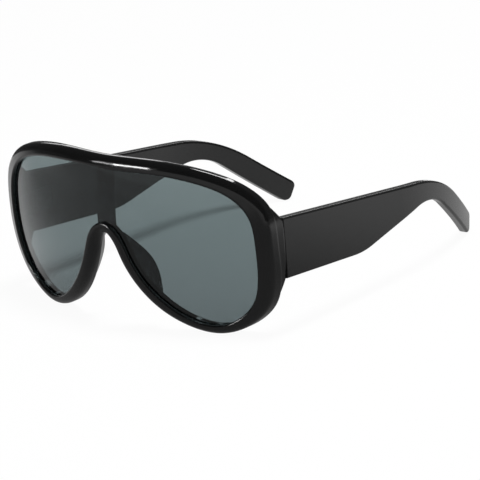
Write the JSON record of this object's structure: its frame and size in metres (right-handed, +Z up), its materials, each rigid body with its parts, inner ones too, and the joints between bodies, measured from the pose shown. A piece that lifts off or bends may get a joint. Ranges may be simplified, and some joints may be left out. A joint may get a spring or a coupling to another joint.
{
  "type": "oversized sunglasses",
  "caption": "Oversized wraparound sunglasses: one smoke shield lens in a glossy black full rim, nose pads, and broad plate temples that fold on hinges.",
  "frame": {"origin": "on the ground, under the middle of the open sunglasses", "axes": "+X to the wearer's left, -Y out through the lens, +Z up"},
  "size_m": [0.1412, 0.1702, 0.0721],
  "materials": {
    "frame": "polished black",
    "lens": "polished, smoke grey, clear to look through",
    "pad": "polished black",
    "temple": "polished black",
    "core": "drawn wire",
    "hinge": "blackened, satin",
    "screw": "blackened, turned"
  },
  "bodies": {
    "front": {"front_frame": "frame", "shield_lens": "lens", "nose_pad_left": "pad", "nose_pad_right": "pad", "hinge_front_leaf_left": "hinge", "hinge_front_leaf_right": "hinge", "hinge_screw_left": "screw", "hinge_screw_right": "screw", "hinge_front_fixing_screws_left": "screw", "hinge_front_fixing_screws_right": "screw"},
    "temple_left_body": {"temple_left": "temple", "temple_core_wire_left": "core", "hinge_temple_leaf_left": "hinge", "hinge_temple_fixing_screws_left": "screw"},
    "temple_right_body": {"temple_right": "temple", "temple_core_wire_right": "core", "hinge_temple_leaf_right": "hinge", "hinge_temple_fixing_screws_right": "screw"}
  },
  "joints": [
    {"name": "temple_left_fold", "type": "hinge", "parent": "front", "child": "temple_left_body", "pos_m": [0.0645, -0.05488, 0.0356], "axis": [0, 0, 1], "range_deg": [0, 84]},
    {"name": "temple_right_fold", "type": "hinge", "parent": "front", "child": "temple_right_body", "pos_m": [-0.0645, -0.05488, 0.0356], "axis": [0, 0, -1], "range_deg": [0, 57]}
  ]
}
